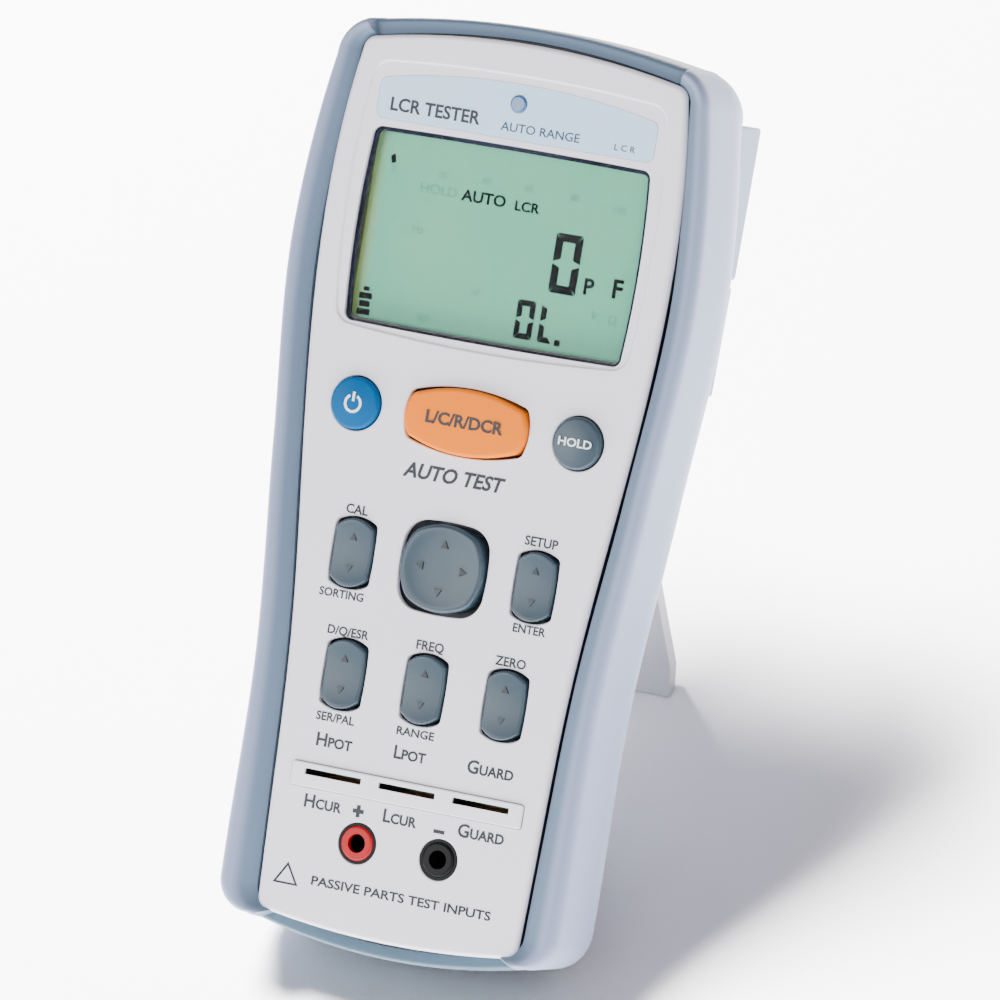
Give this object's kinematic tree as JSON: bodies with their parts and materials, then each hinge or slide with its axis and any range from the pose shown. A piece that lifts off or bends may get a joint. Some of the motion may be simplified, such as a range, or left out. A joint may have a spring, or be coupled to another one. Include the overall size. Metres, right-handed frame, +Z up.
{
  "type": "lcr meter",
  "caption": "Handheld LCR meter in a soft boot, leaning on its rear tilt stand, with a large display, sprung keys, test slots and two banana jacks.",
  "frame": {"origin": "centre of the bounding box, on the bench plane", "axes": "+Z up from the bench, +X to the right of a person facing the display, +Y away from that person; the face leans back 45 degrees"},
  "size_m": [0.0944, 0.1584, 0.1549],
  "materials": {
    "white_abs": "fine satin moulded ABS",
    "rear_abs": "fine textured moulded ABS",
    "boot_rubber": "soft-touch blue-grey elastomer",
    "stand_plastic": "moulded plastic",
    "steel": "plated steel",
    "window_clear": "clear moulded acrylic",
    "mask_ink": "dark blue printed mask",
    "display_glass": "green reflective liquid crystal cell",
    "light_guide": "diffusing light guide",
    "dark_plastic": "dark moulded plastic",
    "silicone": "conductive silicone",
    "header_print": "printed pale blue-grey film",
    "lens_blue": "tinted lens",
    "key_blue": "moulded blue key",
    "key_orange": "moulded orange key",
    "key_grey": "moulded grey key",
    "slot_plastic": "moulded light plastic",
    "spring_bronze": "spring bronze",
    "collar_red": "red moulded insulator",
    "collar_black": "black moulded insulator",
    "nickel": "nickel plated brass",
    "board_laminate": "green masked laminate",
    "chip_epoxy": "moulded epoxy",
    "relay_case": "moulded relay case",
    "capacitor_can": "sleeved aluminium can",
    "fuse_glass": "glass tube with metal caps",
    "battery_wrap": "printed steel jacket"
  },
  "bodies": {
    "meter": {"front_cover": "white_abs", "rear_case": "rear_abs", "holster": "boot_rubber", "stand_hinge_pin": "steel", "battery_door": "rear_abs", "battery_door_screws": "steel", "case_screws": "steel", "board_screws": "steel", "display_window": "window_clear", "display_mask": "mask_ink", "display_glass": "display_glass", "display_backlight": "light_guide", "display_frame": "dark_plastic", "zebra_strip": "silicone", "header_plate": "header_print", "status_lens": "lens_blue", "status_led": "light_guide", "dome_sheet": "silicone", "slot_block": "slot_plastic", "high_slot_contacts": "spring_bronze", "low_slot_contacts": "spring_bronze", "guard_slot_contacts": "spring_bronze", "positive_jack_collar": "collar_red", "negative_jack_collar": "collar_black", "jack_wells": "collar_black", "positive_jack_sleeve": "nickel", "negative_jack_sleeve": "nickel", "main_board": "board_laminate", "measuring_chip": "chip_epoxy", "support_chips": "chip_epoxy", "crystal_can": "steel", "range_relays": "relay_case", "smoothing_capacitors": "capacitor_can", "buzzer": "dark_plastic", "input_fuse": "fuse_glass", "fuse_clips": "spring_bronze", "battery": "battery_wrap", "battery_contacts": "dark_plastic"},
    "auto_test_button": {"auto_test_button": "key_orange"},
    "calibrate_rocker": {"calibrate_rocker": "key_grey"},
    "frequency_rocker": {"frequency_rocker": "key_grey"},
    "hold_button": {"hold_button": "key_grey"},
    "navigation_pad": {"navigation_pad": "key_grey"},
    "navigation_pivot": {"navigation_pivot": "dark_plastic"},
    "parameter_rocker": {"parameter_rocker": "key_grey"},
    "power_button": {"power_button": "key_blue"},
    "setup_rocker": {"setup_rocker": "key_grey"},
    "tilt_stand": {"tilt_stand": "stand_plastic"},
    "zero_rocker": {"zero_rocker": "key_grey"}
  },
  "joints": [
    {"name": "stand_hinge", "type": "hinge", "parent": "meter", "child": "tilt_stand", "pos_m": [0, 0.03067, 0.08444], "axis": [-1, 0, 0], "range_deg": [0, 40.5]},
    {"name": "power_press", "type": "slide", "parent": "meter", "child": "power_button", "axis": [0, 0.7071, -0.7071], "range_m": [0, 0.0008], "stiffness_N_per_m": 1500},
    {"name": "hold_press", "type": "slide", "parent": "meter", "child": "hold_button", "axis": [0, 0.7071, -0.7071], "range_m": [0, 0.0008], "stiffness_N_per_m": 1500},
    {"name": "auto_test_press", "type": "slide", "parent": "meter", "child": "auto_test_button", "axis": [0, 0.7071, -0.7071], "range_m": [0, 0.0008], "stiffness_N_per_m": 1500},
    {"name": "calibrate_tilt", "type": "hinge", "parent": "meter", "child": "calibrate_rocker", "pos_m": [-0.0213, -0.01861, 0.07164], "axis": [1, 0, 0], "range_deg": [-3, 3], "stiffness_Nm_per_rad": 0.12},
    {"name": "setup_tilt", "type": "hinge", "parent": "meter", "child": "setup_rocker", "pos_m": [0.0213, -0.01861, 0.07164], "axis": [1, 0, 0], "range_deg": [-3, 3], "stiffness_Nm_per_rad": 0.12},
    {"name": "parameter_tilt", "type": "hinge", "parent": "meter", "child": "parameter_rocker", "pos_m": [-0.0188, -0.03665, 0.05361], "axis": [1, 0, 0], "range_deg": [-3, 3], "stiffness_Nm_per_rad": 0.12},
    {"name": "frequency_tilt", "type": "hinge", "parent": "meter", "child": "frequency_rocker", "pos_m": [0, -0.03665, 0.05361], "axis": [1, 0, 0], "range_deg": [-3, 3], "stiffness_Nm_per_rad": 0.12},
    {"name": "zero_tilt", "type": "hinge", "parent": "meter", "child": "zero_rocker", "pos_m": [0.0188, -0.03665, 0.05361], "axis": [1, 0, 0], "range_deg": [-3, 3], "stiffness_Nm_per_rad": 0.12},
    {"name": "navigation_up_down", "type": "hinge", "parent": "meter", "child": "navigation_pivot", "pos_m": [0, -0.01777, 0.07107], "axis": [1, 0, 0], "range_deg": [-2.5, 2.5], "stiffness_Nm_per_rad": 0.12},
    {"name": "navigation_left_right", "type": "hinge", "parent": "navigation_pivot", "child": "navigation_pad", "pos_m": [0, -0.01777, 0.07107], "axis": [0, 0.7071, 0.7071], "range_deg": [-2.5, 2.5], "stiffness_Nm_per_rad": 0.12}
  ]
}
